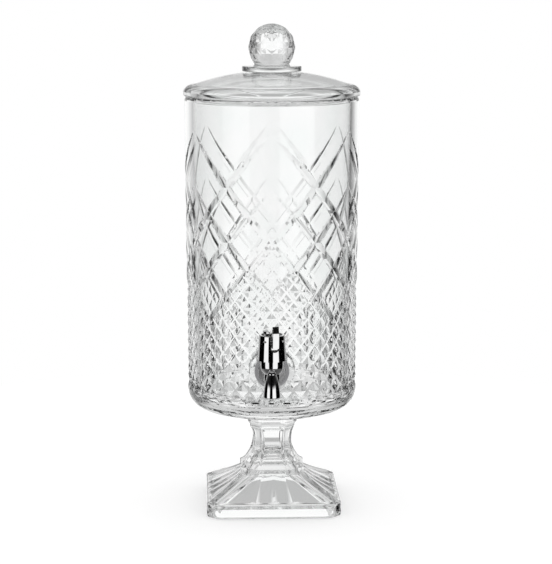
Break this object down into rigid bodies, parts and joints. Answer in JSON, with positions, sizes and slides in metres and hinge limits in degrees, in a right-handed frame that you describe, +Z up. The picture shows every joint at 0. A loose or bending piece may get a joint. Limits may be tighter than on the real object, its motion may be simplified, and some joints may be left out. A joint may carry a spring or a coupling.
{
  "type": "footed glass juice dispenser",
  "caption": "Cut-glass drink dispenser on a square pedestal foot, with a domed lid, a ball knob and a chromed lever tap low at the front.",
  "frame": {"origin": "middle of the foot's ground rim, on the surface it stands on", "axes": "+Z up along the vessel's axis, -Y towards the user (the tap's side), +X to the right seen from the front"},
  "size_m": [0.164, 0.2121, 0.4527],
  "materials": {
    "clear_glass": "clear pressed glass with cut pattern",
    "tap_chrome": "bright chrome plate over moulded plastic",
    "grey_silicone": "matte grey silicone",
    "black_rubber": "matte black rubber",
    "white_plastic": "moulded acetal",
    "stainless_steel": "turned stainless steel",
    "clear_silicone": "translucent silicone"
  },
  "bodies": {
    "stand": {"glass_vessel": "clear_glass", "pedestal_foot": "clear_glass", "tap_body": "tap_chrome", "tap_barrel": "tap_chrome", "lever_pin": "stainless_steel", "guide_bush": "white_plastic", "bush_seal": "black_rubber", "stem_seal": "black_rubber", "spring_washer": "stainless_steel", "valve_spring": "stainless_steel", "outer_gasket": "grey_silicone", "inner_gasket": "grey_silicone", "clamp_washer": "stainless_steel", "shank_nut": "white_plastic"},
    "lid": {"glass_lid": "clear_glass", "lid_knob": "clear_glass"},
    "lever": {"tap_lever": "tap_chrome"},
    "stem": {"valve_stem": "stainless_steel", "stem_cap": "stainless_steel", "seat_plug": "clear_silicone"}
  },
  "joints": [
    {"name": "lid_lift", "type": "slide", "parent": "stand", "child": "lid", "axis": [0, 0, 1], "range_m": [0, 0.1]},
    {"name": "lever_pivot", "type": "hinge", "parent": "stand", "child": "lever", "pos_m": [0.00184, -0.12101, 0.1789], "axis": [0.9744, 0.225, 0], "range_deg": [0, 30]},
    {"name": "stem_slide", "type": "slide", "parent": "stand", "child": "stem", "axis": [0, 0, 1], "range_m": [0, 0.0041], "stiffness_N_per_m": 60, "springref_m": -0.002, "deforming": ["valve_spring"]}
  ],
  "couplings": [
    {"joint": "lever_pivot", "follows": "stem_slide", "rad_per_m": 127.7}
  ]
}
